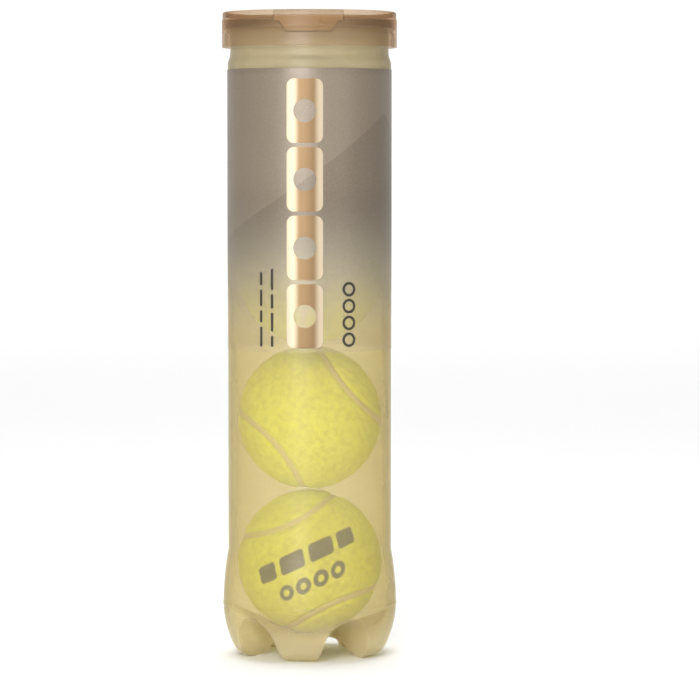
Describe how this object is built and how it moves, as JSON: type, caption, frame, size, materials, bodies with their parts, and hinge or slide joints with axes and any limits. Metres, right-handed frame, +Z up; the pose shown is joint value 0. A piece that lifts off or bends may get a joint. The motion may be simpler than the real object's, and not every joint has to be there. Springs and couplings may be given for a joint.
{
  "type": "tennis ball can",
  "caption": "Tall clear plastic pressure can with a petaloid base, metal tear-off end and snap lid, that holds a stack of tennis balls.",
  "frame": {"origin": "middle of the base, on the surface the five feet stand on", "axes": "+Z up along the can's axis; -Y is the front, where the lid's thumb tab is"},
  "size_m": [0.0802, 0.0807, 0.2953],
  "materials": {
    "can_plastic": "clear amber PET, slightly hazy",
    "label_film": "printed film, metallic bronze-grey",
    "end_metal": "bright rolled sheet",
    "tab_metal": "bright curled sheet",
    "sealing_compound": "soft sealing compound",
    "lid_plastic": "translucent bronze, moulded",
    "ball_felt": "fluffy woven felt",
    "ball_seam": "matt cream adhesive line",
    "ball_rubber": "moulded rubber"
  },
  "bodies": {
    "can": {"jar_base": "can_plastic", "jar_wall": "can_plastic", "jar_neck": "can_plastic", "label_sleeve": "label_film", "end_ring": "end_metal", "seam_compound": "sealing_compound"},
    "ball_1": {"ball_1_core_lower": "ball_rubber", "ball_1_core_upper": "ball_rubber", "ball_1_felt_a": "ball_felt", "ball_1_felt_b": "ball_felt", "ball_1_seam": "ball_seam"},
    "ball_2": {"ball_2_core_lower": "ball_rubber", "ball_2_core_upper": "ball_rubber", "ball_2_felt_a": "ball_felt", "ball_2_felt_b": "ball_felt", "ball_2_seam": "ball_seam"},
    "ball_3": {"ball_3_core_lower": "ball_rubber", "ball_3_core_upper": "ball_rubber", "ball_3_felt_a": "ball_felt", "ball_3_felt_b": "ball_felt", "ball_3_seam": "ball_seam"},
    "ball_4": {"ball_4_core_lower": "ball_rubber", "ball_4_core_upper": "ball_rubber", "ball_4_felt_a": "ball_felt", "ball_4_felt_b": "ball_felt", "ball_4_seam": "ball_seam"},
    "end_panel": {"end_panel": "end_metal"},
    "pull_tab": {"pull_tab": "tab_metal"},
    "lid": {"lid": "lid_plastic"}
  },
  "joints": [
    {"name": "ball_1_slide", "type": "slide", "parent": "can", "child": "ball_1", "axis": [0, 0, 1], "range_m": [0, 0.285]},
    {"name": "ball_2_slide", "type": "slide", "parent": "ball_1", "child": "ball_2", "axis": [0, 0, 1], "range_m": [0, 0.22]},
    {"name": "ball_3_slide", "type": "slide", "parent": "ball_2", "child": "ball_3", "axis": [0, 0, 1], "range_m": [0, 0.155]},
    {"name": "ball_4_slide", "type": "slide", "parent": "ball_3", "child": "ball_4", "axis": [0, 0, 1], "range_m": [0, 0.085]},
    {"name": "panel_tear_off", "type": "slide", "parent": "ball_4", "child": "end_panel", "axis": [0, 0, 1], "range_m": [0, 0.05]},
    {"name": "lid_lift", "type": "slide", "parent": "end_panel", "child": "lid", "axis": [0, 0, 1], "range_m": [0, 0.06]},
    {"name": "tab_hinge", "type": "hinge", "parent": "end_panel", "child": "pull_tab", "pos_m": [0, -0.0246, 0.28625], "axis": [1, 0, 0], "range_deg": [0, 90]}
  ],
  "couplings": [
    {"joint": "tab_hinge", "follows": "lid_lift", "rad_per_m": 26.035}
  ]
}
